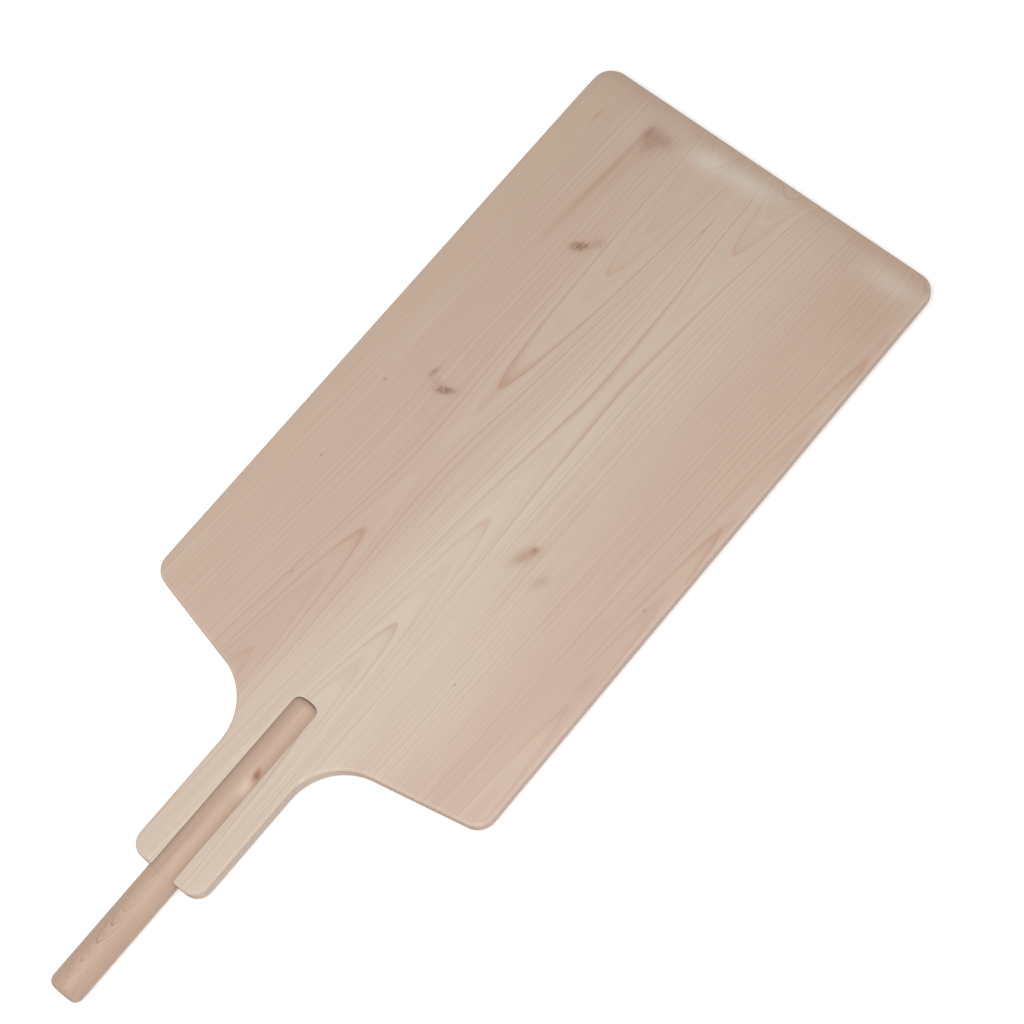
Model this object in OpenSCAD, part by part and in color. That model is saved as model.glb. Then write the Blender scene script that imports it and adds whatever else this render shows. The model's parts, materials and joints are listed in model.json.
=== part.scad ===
// A long-bladed wooden pizza peel: one flat board, whose blade runs through sloping shoulders
// and large hollow curves into a narrow neck, and a round dowel handle glued into a bore in
// the neck. The dowel is thicker than the neck, so it shows as a rounded rib in a
// round-ended slot on both faces. +X points to the front of the blade and +Y to its left.
// The origin is under the middle of the whole length, level with the dowel's lowest line.

/* [Blade] */
// Width of the blade
blade_w = 300; // [240:1:380]
// Length of the board, from the end of the neck to the front of the blade
board_l = 656; // [500:1:800]
// Thickness of the blade
blade_t = 12; // [10:0.5:14]
// Radius of the blade's four corners, seen from above
corner_r = 15; // [6:1:30]
// Radius that softens every edge of the board
edge_r = 2.5; // [1:0.5:3]

/* [Front bevel] */
// Length over which the top face falls towards the front edge
bevel_l = 34; // [32:1:60]
// Height that the top face has lost at the front edge
bevel_drop = 3.5; // [1:0.5:4]

/* [Neck] */
// Width of the neck
neck_w = 62; // [50:1:90]
// Distance from the end of the neck to where its side lines would meet the shoulder lines
neck_l = 129; // [110:1:200]
// Thickness of the neck
neck_t = 16; // [14:0.5:19]
// Radius of the two corners at the end of the neck
neck_corner_r = 12; // [4:1:16]
// Distance that each shoulder runs forward between the neck and the side of the blade
shoulder_run = 26; // [5:1:80]
// Radius of the hollow curves between the neck and the shoulders
fillet_r = 46; // [10:1:60]
// Distance from the end of the neck to where the underside starts to thin
relief_start = 90; // [60:1:110]
// Length of the gentle slope on the underside, from the neck's thickness to the blade's
relief_l = 100; // [60:1:160]

/* [Handle] */
// Diameter of the dowel
handle_d = 25.4; // [22:0.2:30]
// Length of the dowel that stands out of the neck
handle_free = 101; // [60:1:700]
// Length of the dowel inside the neck
handle_in = 150.5; // [90:0.5:180]
// Radius that rounds both ends of the dowel
handle_end_r = 6; // [2:0.5:10]
// Depth by which the seat of the dowel is turned down, to leave room for the glue
glue_gap = 0.2; // [0.02:0.01:0.3]
// Length of the turned-down seat that stands out of the neck
seat_proud = 1; // [0.5:0.5:3]
// Gap between the end of the dowel and the end of its bore
end_gap = 0.2; // [0.1:0.1:2]

/* [Hidden] */
$fn = 96;
handle_r = handle_d / 2;
total_l = handle_free + board_l;
neck_x = handle_free - total_l / 2;
front_x = neck_x + board_l;
axis_z = handle_r;
top_z = axis_z + neck_t / 2;
seat_x = neck_x - seat_proud;
shoulder_x = neck_x + neck_l;
relief_x = neck_x + relief_start;
bevel_x = front_x - bevel_l;
// The bevel is an arc that leaves the flat top without a step
bevel_arc_r = (bevel_l * bevel_l + bevel_drop * bevel_drop) / (2 * bevel_drop);
// Flats that make up each rounded edge and each curve of the outline
edge_steps = 6;
curve_steps = 12;

// Height of the top and bottom faces at a distance x along the board
function top_at(x) = x < bevel_x ? top_z : top_z - bevel_arc_r + sqrt(pow(bevel_arc_r, 2) - pow(x - bevel_x, 2));
function ease(t) = t <= 0 ? 0 : t >= 1 ? 1 : t * t * (3 - 2 * t);
function bottom_at(x) = top_z - neck_t + (neck_t - blade_t) * ease((x - relief_x) / relief_l);

// Points [x, y, nx, ny] of an arc of radius r that rounds corner b between a and c,
// each with the direction in which the outline faces
function unit(v) = v / norm(v);
function turned(v, t) = [v[0] * cos(t) - v[1] * sin(t), v[0] * sin(t) + v[1] * cos(t)];
function corner_arc(a, b, c, r) =
    let (u = unit(a - b), v = unit(c - b), half = acos(u * v) / 2)
    let (centre = b + unit(u + v) * r / sin(half), start = b + u * r / tan(half) - centre)
    let (side = sign(u[1] * v[0] - u[0] * v[1]))
    [for (i = [0:curve_steps]) let (arm = turned(start, side * (180 - 2 * half) * i / curve_steps))
        concat(centre + arm, -side * arm / r)];

// Points of the straight stretch between the last point of one arc and the first of the next
function straight(from, to, steps) =
    [for (i = [1:steps - 1]) from + (to - from) * i / steps];

// Left half of the outline, from the end of the neck to the front edge
corners = [
    [neck_x, 0],
    [neck_x, neck_w / 2],
    [shoulder_x, neck_w / 2],
    [shoulder_x + shoulder_run, blade_w / 2],
    [front_x, blade_w / 2],
    [front_x, 0]
];
radii = [0, neck_corner_r, fillet_r, corner_r, corner_r];
arcs = [for (i = [1:4]) corner_arc(corners[i - 1], corners[i], corners[i + 1], radii[i])];
bevel_start = [bevel_x, blade_w / 2, 0, 1];
left_half = concat(
    arcs[0],
    straight(arcs[0][curve_steps], arcs[1][0], 6),
    arcs[1],
    straight(arcs[1][curve_steps], arcs[2][0], 6),
    arcs[2],
    straight(arcs[2][curve_steps], bevel_start, 10),
    [bevel_start],
    straight(bevel_start, arcs[3][0], 4),
    arcs[3]
);
half_count = len(left_half);
ring_count = 2 * half_count;

// The full outline, drawn in by inset, with its height taken from the top or the bottom face
function mirrored(p) = [p[0], -p[1], p[2], -p[3]];
outline = concat(left_half, [for (i = [half_count - 1:-1:0]) mirrored(left_half[i])]);
function ring(inset, drop, on_top) = [
    for (p = outline) let (x = p[0] - p[2] * inset, y = p[1] - p[3] * inset)
        [x, y, on_top ? top_at(x) - drop : bottom_at(x) + drop]
];

// Rings from the flat top, round the top edge, down the side and round the bottom edge
top_rings = [for (k = [0:edge_steps]) let (a = 90 * k / edge_steps)
    ring(edge_r * (1 - sin(a)), edge_r * (1 - cos(a)), true)];
bottom_rings = [for (k = [edge_steps:-1:0]) let (a = 90 * k / edge_steps)
    ring(edge_r * (1 - sin(a)), edge_r * (1 - cos(a)), false)];
rings = concat(top_rings, bottom_rings);

// The board before its bore, as one skin over the rings
module board_blank() {
    last = len(rings) - 1;
    rim = [for (k = [0:last - 1], i = [0:ring_count - 1]) let (j = (i + 1) % ring_count)
        [k * ring_count + i, k * ring_count + j, (k + 1) * ring_count + j, (k + 1) * ring_count + i]];
    top = [for (i = [0:half_count - 2])
        [i, ring_count - 1 - i, ring_count - 2 - i, i + 1]];
    bottom = [for (q = top) [for (i = [3:-1:0]) last * ring_count + q[i]]];
    polyhedron(points = [for (r = rings) each r], faces = concat(rim, top, bottom), convexity = 6);
}

// A round bar along +X from the origin, with its far end rounded by end_r
module bar(r, l, end_r) {
    rotate([0, 90, 0]) rotate_extrude() {
        square([r, l - end_r]);
        square([r - end_r, l]);
        translate([r - end_r, l - end_r]) circle(r = end_r);
    }
}

module blade_board() color([0.78, 0.69, 0.62]) {
    difference() {
        board_blank();
        translate([seat_x, 0, axis_z])
            bar(handle_r, seat_proud + handle_in + end_gap, handle_end_r);
    }
}

// The grip and the slightly thinner seat, which starts inside the grip so that they are one
module handle_dowel() color([0.79, 0.68, 0.59]) {
    translate([seat_x, 0, axis_z]) mirror([1, 0, 0])
        bar(handle_r, handle_free - seat_proud, handle_end_r);
    translate([seat_x - handle_end_r, 0, axis_z])
        bar(handle_r - glue_gap, handle_end_r + seat_proud + handle_in, handle_end_r);
}

blade_board();
handle_dowel();
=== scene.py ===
import json
import math

import bpy
import numpy as np
from mathutils import Matrix, Vector
from mathutils.geometry import delaunay_2d_cdt


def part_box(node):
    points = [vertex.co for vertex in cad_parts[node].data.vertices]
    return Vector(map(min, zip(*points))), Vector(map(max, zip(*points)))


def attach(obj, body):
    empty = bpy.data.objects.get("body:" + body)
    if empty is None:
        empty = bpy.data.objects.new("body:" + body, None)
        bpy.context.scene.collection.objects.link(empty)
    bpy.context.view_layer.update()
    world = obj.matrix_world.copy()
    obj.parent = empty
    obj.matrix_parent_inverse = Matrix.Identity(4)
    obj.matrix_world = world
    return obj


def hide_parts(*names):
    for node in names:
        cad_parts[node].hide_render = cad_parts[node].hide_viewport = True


# The look of a wooden pizza peel: a flat board with a narrow neck, and a round dowel set into
# a bore in the neck. Both pieces are rebuilt here as finer meshes than the frame's, and both
# are bare wood, whose growth rings come from formulas in three dimensions.

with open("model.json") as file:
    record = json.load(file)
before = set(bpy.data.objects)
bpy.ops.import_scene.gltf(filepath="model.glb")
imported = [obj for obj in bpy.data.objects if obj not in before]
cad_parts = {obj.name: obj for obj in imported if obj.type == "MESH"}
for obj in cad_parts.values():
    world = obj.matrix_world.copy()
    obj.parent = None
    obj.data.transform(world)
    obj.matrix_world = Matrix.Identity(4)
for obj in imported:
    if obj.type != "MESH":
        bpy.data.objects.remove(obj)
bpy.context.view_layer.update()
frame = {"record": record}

MM = 0.001


def mount_place(name):
    """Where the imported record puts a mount, in metres."""
    return next(m["pos_m"] for m in frame["record"]["mounts"] if m["name"] == name)


# Places and sizes that the frame gives, in metres
board_low, board_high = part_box("blade_board")
dowel_low, dowel_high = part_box("handle_dowel")
NECK_X, FRONT_X = board_low.x, board_high.x
TOP_Z, NECK_BOTTOM_Z = board_high.z, board_low.z
BLADE_BOTTOM_Z = mount_place("blade_underside")[2]
BLADE_W = board_high.y - board_low.y
DOWEL_R = (dowel_high.z - dowel_low.z) / 2
AXIS_Z = (dowel_high.z + dowel_low.z) / 2
GRIP_X, SEAT_END_X = dowel_low.x, dowel_high.x

# Sizes of the board that its box doesn't show
NECK_W = 62 * MM
NECK_L = 129 * MM
SHOULDER_RUN = 26 * MM
FILLET_R = 46 * MM
CORNER_R = 15 * MM
NECK_CORNER_R = 12 * MM
EDGE_R = 2.5 * MM
BEVEL_L = 34 * MM
BEVEL_DROP = 3.5 * MM
RELIEF_X = NECK_X + 90 * MM
RELIEF_L = 100 * MM
# Radius of the slot's rounded lip, along its sides and round its end
LIP_R = 0.12 * MM
END_LIP_R = 0.9 * MM

# Sizes of the dowel and its bore
DOWEL_END_R = 6 * MM
SEAT_PROUD = 1 * MM
SEAT_DEPTH = 0.2 * MM
# Half of the length over which the grip eases down to the seat
SEAT_EASE = 0.8 * MM
END_GAP = 0.2 * MM
BORE_END_X = SEAT_END_X + END_GAP

# How finely the curves are cut
ROUND_STEPS = 10
WALL_STEPS = 7
SLOT_STEPS = 24
SLOT_END_STEPS = 22
SLOT_SAMPLES = 400
OUTLINE_SPACING = 6 * MM
CAP_SPACING = 6 * MM
DOWEL_SIDES = 120
DOWEL_END_STEPS = 14
DISC_STEPS = 5
GRIP_STEPS = 16
EASE_STEPS = 6
SEAT_STEPS = 24
# Points of the faces keep this far from the slot's end and from its sides
SLOT_END_MARGIN = 2 * MM
SLOT_SIDE_MARGIN = 1.5 * MM
# Corners sharper than this, in degrees, stay sharp in the shading
SMOOTH_ANGLE = 38


# ---------------------------------------------------------------------------------- board


def top_at(x):
    """Height of the top face, which falls in an arc towards the front edge."""
    arc_r = (BEVEL_L**2 + BEVEL_DROP**2) / (2 * BEVEL_DROP)
    run = np.clip(x - (FRONT_X - BEVEL_L), 0, BEVEL_L)
    return TOP_Z - arc_r + np.sqrt(arc_r**2 - run**2)


def bottom_at(x):
    """Height of the bottom face, which eases up from the neck's thickness to the blade's."""
    t = np.clip((x - RELIEF_X) / RELIEF_L, 0, 1)
    return NECK_BOTTOM_Z + (BLADE_BOTTOM_Z - NECK_BOTTOM_Z) * t * t * (3 - 2 * t)


def corner_arc(a, b, c, r, steps):
    """Points [x, y, nx, ny] of the arc that rounds corner b between a and c."""
    a, b, c = (np.array(p, float) for p in (a, b, c))
    u, v = (a - b) / np.linalg.norm(a - b), (c - b) / np.linalg.norm(c - b)
    half = math.acos(u @ v) / 2
    centre = b + (u + v) / np.linalg.norm(u + v) * r / math.sin(half)
    start = b + u * r / math.tan(half) - centre
    side = math.copysign(1, u[1] * v[0] - u[0] * v[1])
    found = []
    for angle in np.linspace(0, side * (math.pi - 2 * half), steps + 1):
        turn = np.array([[math.cos(angle), -math.sin(angle)], [math.sin(angle), math.cos(angle)]])
        arm = turn @ start
        found.append([*(centre + arm), *(-side * arm / r)])
    return np.array(found)


def straight(p, q, spacing):
    """Points between p and q, both left out, about spacing apart."""
    steps = max(1, round(np.linalg.norm(q[:2] - p[:2]) / spacing))
    return [p + (q - p) * i / steps for i in range(1, steps)]


def board_outline():
    """Points [x, y, nx, ny] from the neck's left corner, round the front, to its right one."""
    shoulder_x = NECK_X + NECK_L
    corners = [
        (NECK_X, 0),
        (NECK_X, NECK_W / 2),
        (shoulder_x, NECK_W / 2),
        (shoulder_x + SHOULDER_RUN, BLADE_W / 2),
        (FRONT_X, BLADE_W / 2),
        (FRONT_X, 0),
    ]
    radii = [NECK_CORNER_R, FILLET_R, CORNER_R, CORNER_R]
    steps = [14, 26, 16, 18]
    arcs = [corner_arc(*corners[i : i + 3], radii[i], steps[i]) for i in range(4)]
    half = list(arcs[0])
    for before, after in zip(arcs, arcs[1:]):
        half += straight(before[-1], after[0], OUTLINE_SPACING) + list(after)
    front = np.array([FRONT_X, 0, 1, 0])
    half += straight(half[-1], front, OUTLINE_SPACING) + [front]
    half = np.array(half)
    return np.concatenate([half, half[-2::-1] * [1, -1, 1, -1]])


def edge_rows():
    """(inset, height at x, depth) of each row of points from the top face round to the bottom."""
    over, side = [], []
    for angle in np.linspace(0, math.pi / 2, ROUND_STEPS + 1):
        inset, drop = EDGE_R * (1 - math.sin(angle)), EDGE_R * (1 - math.cos(angle))
        over.append((inset, lambda x, d=drop: top_at(x) - d, drop))
    for t in np.linspace(0, 1, WALL_STEPS + 2)[1:-1]:

        def height(x, t=t):
            return (top_at(x) - EDGE_R) * (1 - t) + (bottom_at(x) + EDGE_R) * t

        side.append((0, height, EDGE_R))
    under = [(inset, lambda x, d=drop: bottom_at(x) + d, drop) for inset, _, drop in over[::-1]]
    return over + side + under


def lip(depth, radius):
    """How far the rounded lip of the slot stands back at a depth below the face."""
    left = np.maximum(radius - depth, 0)
    return radius - np.sqrt(radius**2 - left**2)


def slot_path(start_x, height, depth):
    """Points [x, y] of half of the slot at one row: along its side, then round its end to y = 0."""
    round_x = BORE_END_X - DOWEL_END_R
    xs = np.linspace(start_x, round_x, SLOT_STEPS + 1)
    side = np.stack([xs, np.sqrt(DOWEL_R**2 - (height(xs) - AXIS_Z) ** 2)], axis=1)

    # The bore's end, finely sampled: its rounded corner, then its flat, as far as this height cuts
    angle = np.linspace(0, math.pi / 2, SLOT_SAMPLES)
    flat_r = np.linspace(DOWEL_R - DOWEL_END_R, 0, SLOT_SAMPLES // 2)
    flat_x = np.full(len(flat_r), BORE_END_X)
    end_x = np.concatenate([round_x + DOWEL_END_R * np.sin(angle), flat_x])
    end_r = np.concatenate([DOWEL_R - DOWEL_END_R * (1 - np.cos(angle)), flat_r])
    square = end_r**2 - (height(end_x) - AXIS_Z) ** 2
    last = np.argmax(square <= 0)
    share = square[last - 1] / (square[last - 1] - square[last])
    last_x = end_x[last - 1] + share * (end_x[last] - end_x[last - 1])
    dense = np.stack([end_x[:last], np.sqrt(square[:last])], axis=1)
    dense = np.concatenate([dense, [[last_x, 0]]])

    # The same end as evenly spaced points, then the lip
    along = np.concatenate([[0], np.cumsum(np.linalg.norm(np.diff(dense, axis=0), axis=1))])
    wanted = np.linspace(0, along[-1], SLOT_END_STEPS + 1)[1:]
    end = np.stack([np.interp(wanted, along, dense[:, i]) for i in (0, 1)], axis=1)
    path = np.concatenate([side, end])
    heading = np.gradient(path, axis=0)
    heading /= np.linalg.norm(heading, axis=1)[:, None]
    outward = np.stack([-heading[:, 1], heading[:, 0]], axis=1)
    outward[: SLOT_STEPS + 1] = (0, 1)
    outward[-1] = (1, 0)
    radius = LIP_R + (END_LIP_R - LIP_R) * np.clip((path[:, 0] - round_x) / DOWEL_END_R, 0, 1)
    return path + outward * lip(depth, radius)[:, None]


def cap_points(outline):
    """Points inside the board's outline and clear of the slot, in staggered rows."""
    half = outline[: len(outline) // 2 + 1]
    order = np.argsort(half[:, 0], kind="stable")
    margin = EDGE_R + 0.45 * CAP_SPACING
    found = []
    for i, x in enumerate(np.arange(NECK_X + margin, FRONT_X - margin, CAP_SPACING * 0.87)):
        reach = np.interp(x, half[order, 0], half[order, 1])
        shift = CAP_SPACING / 2 * (i % 2)
        for y in np.arange(-BLADE_W / 2, BLADE_W / 2, CAP_SPACING) + shift:
            near = np.hypot(outline[:, 0] - x, outline[:, 1] - y).min()
            in_slot = x < BORE_END_X + SLOT_END_MARGIN and abs(y) < DOWEL_R + SLOT_SIDE_MARGIN
            if abs(y) < reach and near > margin and not in_slot:
                found.append((x, y))
    return np.array(found)


def inside(loop, place):
    """Whether a place lies inside a closed loop of 2D points."""
    near, far = loop, np.roll(loop, -1, axis=0)
    spans = (near[:, 1] > place[1]) != (far[:, 1] > place[1])
    near, far = near[spans], far[spans]
    crossing = near[:, 0] + (place[1] - near[:, 1]) / (far[:, 1] - near[:, 1]) * (far[:, 0] - near[:, 0])
    return np.count_nonzero(crossing > place[0]) % 2 == 1


def cap_faces(loop, inner):
    """Triangles over a closed loop of 2D points and the points inside it, as indices into both."""
    places = np.concatenate([loop, inner])
    border = [(i, (i + 1) % len(loop)) for i in range(len(loop))]
    made = delaunay_2d_cdt([Vector(p) for p in places], border, [], 0, 1e-7, True)
    source = [ids[0] if ids else None for ids in made[3]]
    if None in source or len(made[0]) != len(places):
        raise ValueError("the cap's triangulation added or lost points")
    faces = [[source[i] for i in face] for face in made[2]]
    return [face for face in faces if inside(loop, places[face].mean(axis=0))]


def board_mesh():
    """Points, faces, and how far each point is into the middle of a rounded edge, from 0 to 1."""
    outline = board_outline()
    points, rim, wall = [], [], []
    rows_from_top = edge_rows()
    for inset, height, depth in rows_from_top:
        half_slot = slot_path(NECK_X + inset, height, depth)
        slot = np.concatenate([half_slot, half_slot[-2::-1] * [1, -1]])
        ring = outline[:, :2] - outline[:, 2:] * inset
        base = len(points)
        loop = np.concatenate([slot[:1], ring, slot[:0:-1]])
        points += [(x, y, float(height(x))) for x, y in loop]
        rim.append(list(range(base, base + len(ring) + 2)))
        wall.append([base] + list(range(base + len(loop) - 1, base + len(ring), -1)))
    faces = []
    for rows, flip in ((rim, False), (wall, True)):
        for upper, lower in zip(rows, rows[1:]):
            for i in range(len(upper) - 1):
                quad = [upper[i], upper[i + 1], lower[i + 1], lower[i]]
                faces.append(quad[::-1] if flip else quad)
    inner = cap_points(outline)
    for row, height, is_top in ((0, top_at, True), (-1, bottom_at, False)):
        loop_ids = rim[row] + wall[row][-2:0:-1]
        base = len(points)
        ids = loop_ids + list(range(base, base + len(inner)))
        points += [(x, y, float(height(x))) for x, y in inner]
        loop = np.array([points[i][:2] for i in loop_ids])
        for face in cap_faces(loop, inner):
            a, b, c = (np.array(points[ids[i]][:2]) for i in face)
            counter = (b - a)[0] * (c - a)[1] - (b - a)[1] * (c - a)[0] > 0
            face = [ids[i] for i in face]
            faces.append(face if counter == is_top else face[::-1])
    edge = np.zeros(len(points))
    for row, (inset, _, _) in zip(rim, rows_from_top):
        edge[row] = math.sin(2 * math.asin(1 - inset / EDGE_R))
    return points, faces, edge


# ---------------------------------------------------------------------------------- dowel


def dowel_profile():
    """Points [x, radius] from the centre of the grip's end to the centre of the seat's end."""
    seat_x, seat_r = NECK_X - SEAT_PROUD, DOWEL_R - SEAT_DEPTH
    flat_r = DOWEL_R - DOWEL_END_R
    profile = [(GRIP_X, flat_r * t) for t in np.linspace(0, 1, DISC_STEPS + 1)]
    for angle in np.linspace(0, math.pi / 2, DOWEL_END_STEPS + 1)[1:]:
        x = GRIP_X + DOWEL_END_R * (1 - math.cos(angle))
        profile.append((x, flat_r + DOWEL_END_R * math.sin(angle)))
    for x in np.linspace(GRIP_X + DOWEL_END_R, seat_x - SEAT_EASE, GRIP_STEPS + 1)[1:]:
        profile.append((x, DOWEL_R))
    for t in np.linspace(0, 1, EASE_STEPS + 1)[1:]:
        eased = t * t * (3 - 2 * t)
        profile.append((seat_x + (2 * t - 1) * SEAT_EASE, DOWEL_R - SEAT_DEPTH * eased))
    for x in np.linspace(seat_x + SEAT_EASE, SEAT_END_X - DOWEL_END_R, SEAT_STEPS + 1)[1:]:
        profile.append((x, seat_r))
    seat_flat_r = seat_r - DOWEL_END_R
    for angle in np.linspace(math.pi / 2, 0, DOWEL_END_STEPS + 1)[1:]:
        x = SEAT_END_X - DOWEL_END_R * (1 - math.cos(angle))
        profile.append((x, seat_flat_r + DOWEL_END_R * math.sin(angle)))
    for t in np.linspace(1, 0, DISC_STEPS + 1)[1:]:
        profile.append((SEAT_END_X, seat_flat_r * t))
    return profile


def dowel_mesh():
    """Points and faces of the profile turned round the dowel's axis."""
    points, rows = [], []
    for x, r in dowel_profile():
        if r == 0:
            rows.append([len(points)] * DOWEL_SIDES)
            points.append((x, 0, AXIS_Z))
            continue
        rows.append(list(range(len(points), len(points) + DOWEL_SIDES)))
        for i in range(DOWEL_SIDES):
            turn = 2 * math.pi * i / DOWEL_SIDES
            points.append((x, r * math.sin(turn), AXIS_Z + r * math.cos(turn)))
    faces = []
    for near, far in zip(rows, rows[1:]):
        for i in range(DOWEL_SIDES):
            j = (i + 1) % DOWEL_SIDES
            # A row that is one point gives triangles
            faces.append(list(dict.fromkeys([near[j], near[i], far[i], far[j]])))
    return points, faces


def make_piece(name, node, slot, points, faces, material):
    """A piece that stands for a CAD node, shaded smooth except at its sharp edges."""
    mesh = bpy.data.meshes.new(name)
    mesh.from_pydata([tuple(map(float, p)) for p in points], [], faces)
    mesh.validate()
    mesh.shade_smooth()
    mesh.set_sharp_from_angle(angle=math.radians(SMOOTH_ANGLE))
    mesh.materials.append(material)
    piece = bpy.data.objects.new(name, mesh)
    bpy.context.scene.collection.objects.link(piece)
    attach(piece, "root")
    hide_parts(node)
    return piece


# ------------------------------------------------------------------- formulas in materials


def srgb(*levels):
    """A linear colour from levels of 0 to 255 as a screen shows them."""
    linear = [(v / 255 / 12.92) if v <= 10 else ((v / 255 + 0.055) / 1.055) ** 2.4 for v in levels]
    return (*linear, 1.0)


class Num:
    """A number that varies over a surface. Arithmetic on it adds the nodes that work it out."""

    def __init__(self, tree, socket):
        self.tree, self.socket = tree, socket

    def math(self, operation, *others, clamp=False):
        node = self.tree.nodes.new("ShaderNodeMath")
        node.operation, node.use_clamp = operation, clamp
        for place, value in zip(node.inputs, (self, *others)):
            if isinstance(value, Num):
                self.tree.links.new(value.socket, place)
            else:
                place.default_value = value
        return Num(self.tree, node.outputs[0])

    def __add__(self, other):
        return self.math("ADD", other)

    __radd__ = __add__

    def __sub__(self, other):
        return self.math("SUBTRACT", other)

    def __rsub__(self, other):
        return (self * -1.0) + other

    def __mul__(self, other):
        return self.math("MULTIPLY", other)

    def __truediv__(self, other):
        return self.math("DIVIDE", other)

    def clamp(self):
        return self.math("ADD", 0.0, clamp=True)

    def ramp(self, low, high):
        """0 at low, 1 at high, with a smooth S between them."""
        node = self.tree.nodes.new("ShaderNodeMapRange")
        node.interpolation_type = "SMOOTHSTEP"
        self.tree.links.new(self.socket, node.inputs["Value"])
        node.inputs["From Min"].default_value = low
        node.inputs["From Max"].default_value = high
        return Num(self.tree, node.outputs["Result"])


class Wood:
    """The node tree of one wooden piece, with u along the grain, v across it and w up, in mm."""

    def __init__(self, name, origin):
        self.material = bpy.data.materials.new(name)
        self.material.use_nodes = True
        self.tree = self.material.node_tree
        self.shader = self.tree.nodes["Principled BSDF"]
        coordinates = self.tree.nodes.new("ShaderNodeTexCoord")
        self.coordinates = coordinates
        split = self.tree.nodes.new("ShaderNodeSeparateXYZ")
        self.tree.links.new(coordinates.outputs["Object"], split.inputs[0])
        places = [Num(self.tree, split.outputs[i]) for i in range(3)]
        self.u, self.v, self.w = [(p - o) * (1 / MM) for p, o in zip(places, origin)]

    def noise(self, u, v, w=0.0, detail=2.0, roughness=0.5):
        """Smooth noise around 0, from about -0.5 to 0.5, at places given in its own grains."""
        place = self.tree.nodes.new("ShaderNodeCombineXYZ")
        for slot, value in zip(place.inputs, (u, v, w)):
            if isinstance(value, Num):
                self.tree.links.new(value.socket, slot)
            else:
                slot.default_value = value
        node = self.tree.nodes.new("ShaderNodeTexNoise")
        node.noise_dimensions = "3D"
        node.inputs["Scale"].default_value = 1.0
        node.inputs["Detail"].default_value = detail
        node.inputs["Roughness"].default_value = roughness
        self.tree.links.new(place.outputs[0], node.inputs["Vector"])
        return Num(self.tree, node.outputs[0]) - 0.5

    def spot(self, u, v, centre, size, tilt=0.0):
        """1 at the centre, fading to 0 like a bell over size = (along, across), turned by tilt degrees."""
        du, dv = u - centre[0], v - centre[1]
        c, s = math.cos(math.radians(tilt)), math.sin(math.radians(tilt))
        along = (du * c + dv * s) / size[0]
        across = (dv * c - du * s) / size[1]
        return (along * along + across * across).math("MULTIPLY", -1.0).math("EXPONENT")

    def mix(self, share, a, b):
        """Colour a, with colour b mixed into it by share."""
        node = self.tree.nodes.new("ShaderNodeMix")
        node.data_type = "RGBA"
        inputs = [s for s in node.inputs if s.type == "RGBA"]
        for slot, value in ((node.inputs[0], share), (inputs[0], a), (inputs[1], b)):
            if isinstance(value, Num):
                self.tree.links.new(value.socket, slot)
            elif isinstance(value, bpy.types.NodeSocket):
                self.tree.links.new(value, slot)
            else:
                slot.default_value = value
        return next(s for s in node.outputs if s.type == "RGBA")

    def facing(self, axis):
        """How squarely the surface faces along an axis, from 0 to 1."""
        split = self.tree.nodes.new("ShaderNodeSeparateXYZ")
        self.tree.links.new(self.coordinates.outputs["Normal"], split.inputs[0])
        return Num(self.tree, split.outputs[axis]).math("ABSOLUTE")

    def attribute(self, name):
        """A number that the mesh stores at each of its points."""
        node = self.tree.nodes.new("ShaderNodeAttribute")
        node.attribute_name = name
        return Num(self.tree, node.outputs["Fac"])

    def finish(self, colour, roughness, height, bump_mm):
        """Wires the colour, roughness and relief into the shader."""
        self.tree.links.new(colour, self.shader.inputs["Base Color"])
        self.tree.links.new(roughness.socket, self.shader.inputs["Roughness"])
        bump = self.tree.nodes.new("ShaderNodeBump")
        bump.inputs["Strength"].default_value = 1.0
        bump.inputs["Distance"].default_value = bump_mm * MM
        self.tree.links.new(height.socket, bump.inputs["Height"])
        self.tree.links.new(bump.outputs[0], self.shader.inputs["Normal"])
        self.shader.inputs["Specular IOR Level"].default_value = 0.3
        return self.material


# Share of a ring by which its dark line comes early, and how steeply the line darkens
LINE_LEAD = 0.05
LINE_STEEPNESS = 11.0


def growth_lines(wood, rings):
    """Darkness of the growth lines: a slow rise through each ring, then a quick fall."""
    phase = (rings + LINE_LEAD).math("FRACT")
    late = phase.math("POWER", LINE_STEEPNESS) * (1.0 - phase.ramp(0.94, 1.0))
    early = phase.ramp(0.3, 0.5) * (1.0 - phase.ramp(0.5, 0.68)) * 0.25
    index = rings - phase
    strength = (wood.noise(index * 0.71, wood.u / 700.0, 7.3, detail=1.0) * 1.7 + 0.82).clamp()
    return late * strength * 1.9 + early


# The board's rings, in mm: their spacing, and the piths below the top face that they lie round.
# Each pith has its place across the board at the neck's end, and its drift per mm along.
RING_W = 3.85
LEFT_PITH = (64.0, -0.045)
MIDDLE_PITH = (-2.0, -0.032)
RIGHT_PITH = (-135.0, -0.018)
# Depth of the two bowed piths: where their slopes would meet, its place along the board, how
# far the bend is rounded and the rise per mm to both sides
LEFT_BOW = (33.35, 337.0, 40.0, 0.036)
MIDDLE_BOW = (34.15, 456.0, 100.0, 0.0459)
# Depth of the right pith at the neck's end, and how much deeper it lies per mm along
RIGHT_DEPTH, RIGHT_FALL = 8.9, 0.024


def smooth_min(a, b, softness):
    """The smaller of two numbers, blended where they differ by less than softness."""
    return a.math("SMOOTH_MIN", b, softness)


def pith_distance(wood, across, pith, depth):
    """Distance in mm from a pith that runs along the board at a depth below its top face."""
    start, drift = pith
    away = across - start - wood.u * drift
    down = depth + wood.w
    return (away * away + down * down).math("SQRT")


def bowed_depth(u, meeting, middle, round_off, rise):
    """Depth of a pith that is deepest at the middle and rises towards both ends."""
    spread = (u - middle).math("POWER", 2.0) + round_off**2
    return meeting - spread.math("SQRT") * rise


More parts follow.
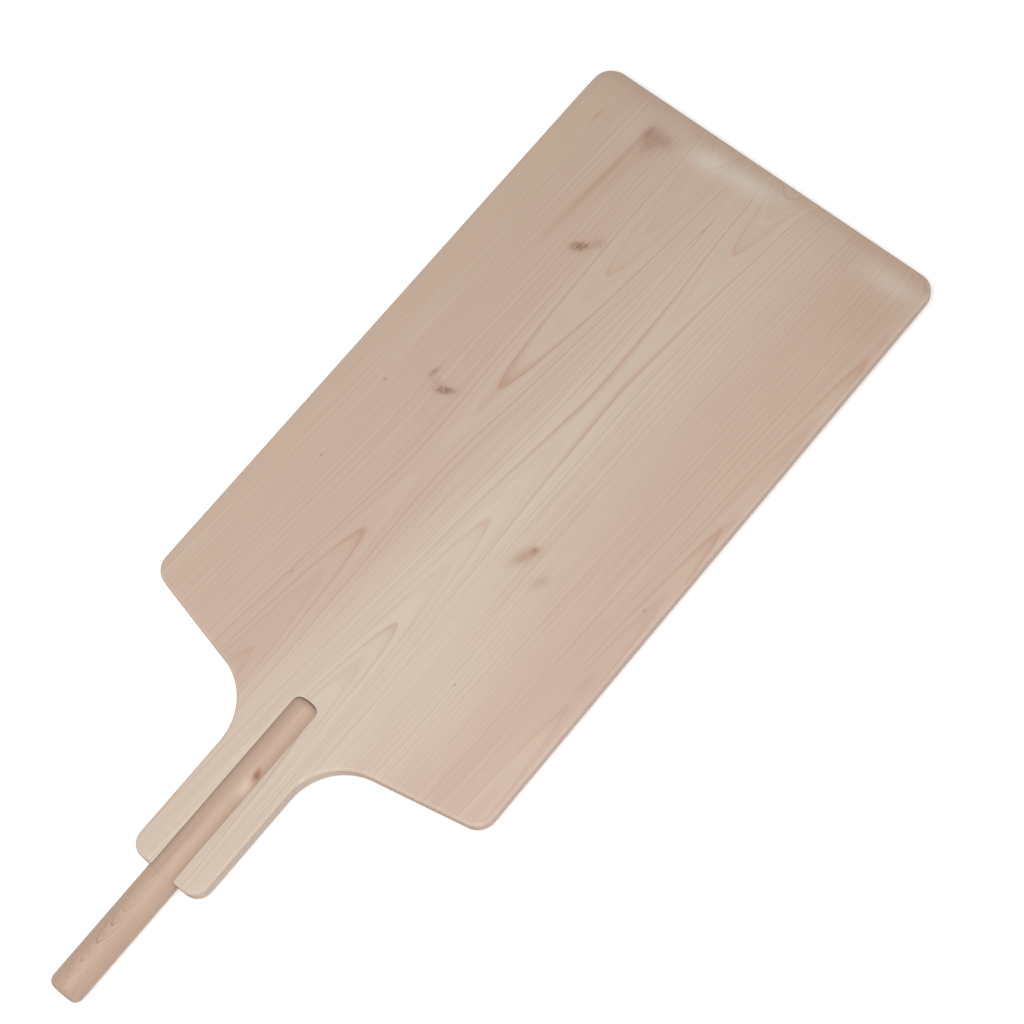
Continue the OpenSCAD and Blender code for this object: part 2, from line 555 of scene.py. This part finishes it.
def board_rings(wood):
    """Ring count over the board: the distance from the nearest pith, in rings."""
    u, v, w = wood.u, wood.v, wood.w
    bend = wood.noise(u / 150.0, v / 60.0, w / 60.0, detail=1.0) * 5.0
    wave = wood.noise(u / 34.0, v / 16.0, w / 16.0, detail=2.0) * 0.9
    across = v + bend + wave
    left = pith_distance(wood, across, LEFT_PITH, bowed_depth(u, *LEFT_BOW))
    middle = pith_distance(wood, across, MIDDLE_PITH, bowed_depth(u, *MIDDLE_BOW))
    right = pith_distance(wood, across, RIGHT_PITH, u * RIGHT_FALL + RIGHT_DEPTH)
    distance = smooth_min(smooth_min(left, middle, 3.0), right, 2.0)
    return distance / RING_W


# Marks of the board, in mm from the neck's end and from the middle line: place (along, across),
# size (along, across), tilt in degrees and strength. Dark hearts of knots:
DARK_KNOTS = [
    ((381.5, 75), (7, 2.8), -57, 1.0),
    ((387.5, 90.5), (5, 1.9), -12, 0.55),
    ((383, 83), (3, 6), 0, 0.25),
    ((526, 70.5), (6.5, 3.4), -52, 1.05),
    ((535, 61.5), (5.5, 3.5), -40, 0.35),
    ((627, 88.5), (5, 2.6), -6, 0.5),
    ((624, 82), (9, 7), 0, 0.42),
    ((628, 74), (5, 5), 0, 0.25),
]
# Reddish wood round knots, with the brown stain near the front and its streak
RED_KNOTS = [
    ((627, 88), (5.5, 2.6), -6, 1.4),
    ((621, 83.5), (13, 6), 0, 1.0),
    ((627, 76), (7, 9), 6, 0.95),
    ((598, 85), (30, 8), -2, 0.35),
    ((611, 74), (17, 12), 0, 0.32),
    ((606, -118), (26, 22), 0, 0.26),
    ((321, -49), (11, 4.6), -28, 0.95),
    ((328, -51.5), (3.2, 2.2), -28, 1.4),
    ((313, -69.5), (6.5, 4), -22, 0.55),
    ((615, 127.5), (7, 1.1), -2, 0.8),
    ((600, 91), (32, 1.9), -2.5, 0.75),
    ((555, 94), (42, 3.6), -3, 0.4),
    ((395, 46), (14, 3), 2, 0.25),
    ((424, -146), (9, 3), -12, 0.35),
    ((275, -139), (7, 2.5), -10, 0.25),
    ((596, -146), (7, 2.5), -8, 0.3),
]
# Pin knots, which have only a place and a size
PIN_KNOTS = [
    ((362, 115), (1.3, 1)),
    ((291, 113), (1.6, 0.8)),
    ((213, 72), (1.8, 0.7)),
    ((221, -70), (1.1, 0.8)),
    ((341, -138), (1.6, 0.9)),
]
# Painted highlight: pale patches of sheen behind the front edge, where the bevel begins to fall
SHEEN_PATCHES = [
    ((634, 40), (9, 13), 0, 0.85),
    ((637, 8), (8, 28), 4, 0.75),
    ((618, 80), (34, 26), 0, 0.22),
    ((636, -124), (9, 26), 0, 0.5),
]
# Wide areas that are pinker than the rest, or creamier where the strength is below 0
TONES = [
    ((520, 44), (120, 15), -3, -0.4),
    ((250, 55), (150, 26), -3, 0.2),
    ((210, -76), (80, 17), 0, -0.35),
    ((60, -22), (80, 12), 0, 0.4),
    ((370, -50), (90, 16), 0, 0.3),
    ((480, -105), (110, 22), 0, 0.3),
    ((625, -118), (70, 45), 0, 0.4),
]
CREAMY_AREAS = [((250, -22), (700, 52), -1, 1.15), ((60, 10), (110, 40), 0, 0.35)]
# Areas along the piths where the growth lines are darkest
HEARTS = [((400, 44), (330, 24), -2.6), ((430, -16), (300, 15), -1.8), ((420, -141), (330, 14), -1)]

# Colours of the board
CREAM = srgb(193, 178, 163)
PINK = srgb(185, 161, 146)
# Painted shade of the light falling off towards the front
FRONT_SHADE_TAN = srgb(182, 160, 141)
BOARD_LINE = srgb(169, 126, 104)
DARK_STREAK = srgb(165, 135, 117)
PALE_STREAK = srgb(197, 181, 160)
LEFT_SIDE_TAN = srgb(183, 163, 142)
# Painted shade of the front bevel, where it turns away from the light
BEVEL_SHADE_BROWN = srgb(176, 144, 124)
BOARD_FIBRE = srgb(160, 133, 113)
RED_KNOT = srgb(154, 111, 88)
KNOT_HALO = srgb(165, 126, 104)
KNOT_HEART = srgb(115, 72, 57)
PIN_KNOT = srgb(126, 94, 76)
# Painted highlight: the pale sheen behind the front edge
SHEEN_PALE = srgb(199, 190, 178)
EDGE_PALE = srgb(206, 190, 173)

# Colours of the dowel
DOWEL_CREAM = srgb(183, 159, 140)
DOWEL_PINK = srgb(174, 148, 131)
DOWEL_LINE = srgb(156, 110, 86)
DOWEL_FIBRE = srgb(152, 122, 102)
DOWEL_FLECK = srgb(158, 109, 86)
DOWEL_PALE = srgb(203, 186, 168)
DOWEL_KNOT = srgb(134, 84, 60)

# Colours that both share: the end grain's, and the painted shade of upright faces
END_GRAIN = srgb(151, 120, 99)
SIDE_SHADE_BROWN = srgb(144, 115, 95)


def board_colour(wood, rings, lines, fibre):
    """The plain wood: cream to pink areas, streaks, growth lines and fibres, with painted shade towards
    the front and on the front bevel.
    """
    u, v, w = wood.u, wood.v, wood.w
    cloud = wood.noise(u / 130.0, v / 22.0, w / 22.0, detail=2.0)
    streak = wood.noise(rings * 2.6, u / 260.0, 2.0, detail=3.0, roughness=0.6)
    creamy = sum(wood.spot(u, v, *area) * share for *area, share in CREAMY_AREAS)
    pinkness = 0.97 - creamy + cloud * 0.5
    for *area, change in TONES:
        pinkness = pinkness + wood.spot(u, v, *area) * change
    pinkness = pinkness.clamp()
    colour = wood.mix(pinkness, CREAM, PINK)
    # Painted shade: the board darkens towards the front, as the light falls off
    colour = wood.mix(u.ramp(250, 700) * 0.6, colour, FRONT_SHADE_TAN)
    heart = sum(wood.spot(u, v, *area) for area in HEARTS)
    colour = wood.mix((lines * (0.38 + heart * 0.26)).clamp(), colour, BOARD_LINE)
    colour = wood.mix((streak * 1.1).clamp(), colour, DARK_STREAK)
    colour = wood.mix((streak * -1.5).clamp(), colour, PALE_STREAK)
    colour = wood.mix(v.ramp(85, 150) * 0.3, colour, LEFT_SIDE_TAN)
    # Painted shade: the last few mm of the top bevel are browner, as where it turns away from the light
    colour = wood.mix(u.ramp(641, 651) * wood.facing(2) * 0.3, colour, BEVEL_SHADE_BROWN)
    return wood.mix((fibre * 0.4 + 0.03).clamp(), colour, BOARD_FIBRE)


def board_marks(wood, colour):
    """Adds the dark knots and pin knots, which go through the wood, and the reddish wood and
    the pale patches of painted highlight, which lie near its top."""
    u, v, w = wood.u, wood.v, wood.w
    mottle = wood.noise(u / 2.6, v / 2.0, w / 8.0, detail=4.0, roughness=0.62)
    near_top = (w + 5.0).ramp(0, 3)
    for *area, strength in RED_KNOTS:
        core = (wood.spot(u, v, *area) * (1.0 + mottle * 1.2)).clamp()
        colour = wood.mix(core * near_top * (0.55 * strength), colour, RED_KNOT)
    for *area, strength in DARK_KNOTS:
        bell = wood.spot(u, v, *area)
        colour = wood.mix((bell.math("POWER", 0.4) * 0.2 * strength).clamp(), colour, KNOT_HALO)
        core = (bell * (1.0 + mottle * 4.0) * 1.1 - 0.06).clamp()
        colour = wood.mix(core * (0.62 * strength), colour, KNOT_HEART)
    for area in PIN_KNOTS:
        colour = wood.mix(wood.spot(u, v, *area) * 0.45, colour, PIN_KNOT)
    # Painted highlight: pale sheen where the front bevel begins
    for *area, strength in SHEEN_PATCHES:
        patch = (wood.spot(u, v, *area) * (1.0 + mottle * 0.7)).clamp()
        colour = wood.mix((patch * near_top * (0.8 * strength)).clamp(), colour, SHEEN_PALE)
    return colour


def end_grain_of(wood, colour, seed):
    """Darkens the ends of the wood. Returns the colour, how far it is end grain, and its pores."""
    end_grain = wood.facing(0).ramp(0.55, 0.95)
    pores = wood.noise(wood.v * 2.2, wood.w * 2.2, seed, detail=3.0)
    colour = wood.mix((end_grain * (0.30 + pores * 0.5)).clamp(), colour, END_GRAIN)
    return colour, end_grain, pores * end_grain


def side_of(wood):
    """1 on faces that stand upright, 0 on faces that lie flat."""
    return 1.0 - wood.facing(2).ramp(0.1, 0.6)


# How far upright faces are darkened with painted shade, and the depth of both pieces' relief in mm
SIDE_SHADE_SHARE = 0.2
RELIEF_MM = 0.05


def board_material():
    wood = Wood("blade_wood", (NECK_X, 0.0, TOP_Z))
    rings = board_rings(wood)
    lines = growth_lines(wood, rings)
    fibre = wood.noise(wood.u / 55.0, wood.v * 1.1, wood.w * 1.1, detail=3.0)
    colour = board_marks(wood, board_colour(wood, rings, lines, fibre))
    colour, end_grain, pores = end_grain_of(wood, colour, 3.0)
    # Painted shade: the board's upright faces are darkened
    colour = wood.mix(side_of(wood) * SIDE_SHADE_SHARE, colour, SIDE_SHADE_BROWN)
    colour = wood.mix(wood.attribute("edge") * 0.3, colour, EDGE_PALE)
    roughness = 0.56 + fibre * 0.12 - lines * 0.05 + end_grain * 0.15
    height = fibre * 0.6 + lines * 0.5 + pores * 0.6
    return wood.finish(colour, roughness, height, RELIEF_MM)


# The dowel's rings, in mm: their spacing, and their pith, which lies above the dowel, a little
# left of its axis. Its height above the axis is the one at the neck's end, and the climb is
# per mm towards the free end.
DOWEL_RING_W = 2.2
DOWEL_PITH_LEFT = 1.5
DOWEL_PITH_UP = 16.6
DOWEL_PITH_CLIMB = 0.147
# Marks on the dowel, as for the board
DOWEL_ARCS = ((-52, 1), (26, 30))
DOWEL_PATCH = ((78, -6.5), (7, 3), 6)
DOWEL_KNOT_AREA = ((90, -6.5), (4.6, 2.4), 12)


def dowel_rings(wood):
    """Ring count over the dowel. Inside the neck its pith hardly climbs."""
    u, v, w = wood.u, wood.v, wood.w
    wave = wood.noise(u / 30.0, v / 10.0, w / 10.0, detail=2.0) * 1.2
    away = (v - DOWEL_PITH_LEFT + wave) * 1.25
    down = w - DOWEL_PITH_UP + u * DOWEL_PITH_CLIMB * (1.0 - u.ramp(-45, 10) * 0.94)
    return (away * away + down * down).math("SQRT") / DOWEL_RING_W


def dowel_colour(wood, lines, fibre):
    """The plain wood, red flecks near the free end, and a knot with a pale patch in front of it."""
    u, v, w = wood.u, wood.v, wood.w
    cloud = wood.noise(u / 60.0, v / 9.0, w / 9.0, detail=2.0)
    colour = wood.mix((0.5 + cloud * 0.9).clamp(), DOWEL_CREAM, DOWEL_PINK)
    arcs = wood.spot(u, v, *DOWEL_ARCS)
    colour = wood.mix((lines * (0.45 + arcs * 0.5)).clamp(), colour, DOWEL_LINE)
    colour = wood.mix((fibre * 0.9 + 0.05).clamp(), colour, DOWEL_FIBRE)
    flecks = (wood.noise(u / 9.0, v / 1.4, w / 6.0, detail=2.0) * 7.0 - 0.9).clamp()
    colour = wood.mix(flecks * (1.0 - u.ramp(-80, -55)) * 0.5, colour, DOWEL_FLECK)
    top_side = w.ramp(3, 7)
    patch = (wood.spot(u, v, *DOWEL_PATCH) * top_side * 0.65).clamp()
    colour = wood.mix(patch, colour, DOWEL_PALE)
    mottle = wood.noise(u / 2.5, v / 1.8, w / 1.8, detail=3.0)
    knot = (wood.spot(u, v, *DOWEL_KNOT_AREA) * (1.0 + mottle * 2.0) * 1.25 - 0.12).clamp()
    return wood.mix(knot * top_side * 0.75, colour, DOWEL_KNOT)


def dowel_material():
    wood = Wood("handle_wood", (NECK_X, 0.0, AXIS_Z))
    lines = growth_lines(wood, dowel_rings(wood))
    fibre = wood.noise(wood.u / 40.0, wood.v * 1.2, wood.w * 1.2, detail=3.0)
    colour, end_grain, pores = end_grain_of(wood, dowel_colour(wood, lines, fibre), 5.0)
    # Painted shade: the dowel's upright flanks are darkened
    colour = wood.mix(side_of(wood) * SIDE_SHADE_SHARE, colour, SIDE_SHADE_BROWN)
    roughness = 0.5 + fibre * 0.12 + end_grain * 0.15
    height = fibre * 0.6 + lines * 0.5 + pores * 0.6
    return wood.finish(colour, roughness, height, RELIEF_MM)


# ---------------------------------------------------------------- floor, lights and camera


# A white floor just below the dowel, which glows a little, and reaches this far each way in m
FLOOR_REACH = 6.0
FLOOR_GAP = 0.2 * MM
FLOOR_WHITE = (0.96, 0.96, 0.96, 1)
FLOOR_GLOW = 0.18
WHITE = (1, 1, 1, 1)

# Strength of the light from all round, and the one large lamp: place, size in m, power in W
WORLD_LIGHT = 0.34
KEY_PLACE = (-0.42, -0.38, 1.75)
KEY_SIZE = 1.25
KEY_POWER = 35.5

# The photograph's viewpoint: angles in degrees, distance in m, focal length in mm
AZIMUTH, ELEVATION, ROLL = -35.09, 68.68, -16.08
VIEW_DISTANCE = 1.7787
FOCAL_MM = 90.65
VIEW_AIM = Vector((NECK_X + 340.3 * MM, -21.1 * MM, TOP_Z))


def floor():
    mesh = bpy.data.meshes.new("floor")
    r, z = FLOOR_REACH, dowel_low.z - FLOOR_GAP
    corners = [(-r, -r, z), (r, -r, z), (r, r, z), (-r, r, z)]
    mesh.from_pydata(corners, [], [(0, 1, 2, 3)])
    made = bpy.data.objects.new("floor", mesh)
    bpy.context.scene.collection.objects.link(made)
    material = bpy.data.materials.new("floor_white")
    material.use_nodes = True
    shader = material.node_tree.nodes["Principled BSDF"]
    shader.inputs["Base Color"].default_value = FLOOR_WHITE
    shader.inputs["Roughness"].default_value = 0.9
    shader.inputs["Emission Color"].default_value = WHITE
    shader.inputs["Emission Strength"].default_value = FLOOR_GLOW
    mesh.materials.append(material)


def area_light(name, place, aim, size, power):
    data = bpy.data.lights.new(name, "AREA")
    data.shape, data.size, data.energy = "SQUARE", size, power
    lamp = bpy.data.objects.new(name, data)
    lamp.location = place
    lamp.rotation_euler = (Vector(aim) - Vector(place)).to_track_quat("-Z", "Y").to_euler()
    lamp.visible_camera = False
    bpy.context.scene.collection.objects.link(lamp)


def lights():
    world = bpy.data.worlds.new("studio")
    world.use_nodes = True
    background = world.node_tree.nodes["Background"]
    background.inputs["Color"].default_value = WHITE
    background.inputs["Strength"].default_value = WORLD_LIGHT
    bpy.context.scene.world = world
    area_light("key", KEY_PLACE, (0, 0, 0), KEY_SIZE, KEY_POWER)
    bpy.context.scene.view_settings.view_transform = "Standard"


def camera():
    """A camera aimed at a point of the top face, and rolled round its line of sight."""
    azimuth, elevation, roll = (math.radians(a) for a in (AZIMUTH, ELEVATION, ROLL))
    level = math.cos(elevation)
    back = Vector((math.sin(azimuth) * level, -math.cos(azimuth) * level, math.sin(elevation)))
    right = Vector((math.cos(azimuth), math.sin(azimuth), 0))
    up = back.cross(right)
    turned_right = right * math.cos(roll) + up * math.sin(roll)
    turned_up = up * math.cos(roll) - right * math.sin(roll)
    data = bpy.data.cameras.new("camera")
    data.sensor_width, data.lens = 36, FOCAL_MM
    made = bpy.data.objects.new("camera", data)
    turn = Matrix((turned_right, turned_up, back)).transposed().to_4x4()
    made.matrix_world = Matrix.Translation(VIEW_AIM + back * VIEW_DISTANCE) @ turn
    bpy.context.scene.collection.objects.link(made)
    bpy.context.scene.camera = made


camera()
lights()
floor()
points, faces, edge = board_mesh()
board = make_piece("board", "blade_board", "blade_wood", points, faces, board_material())
edge_data = board.data.attributes.new("edge", "FLOAT", "POINT").data
edge_data.foreach_set("value", edge.astype(np.float32))
make_piece("dowel", "handle_dowel", "handle_wood", *dowel_mesh(), dowel_material())
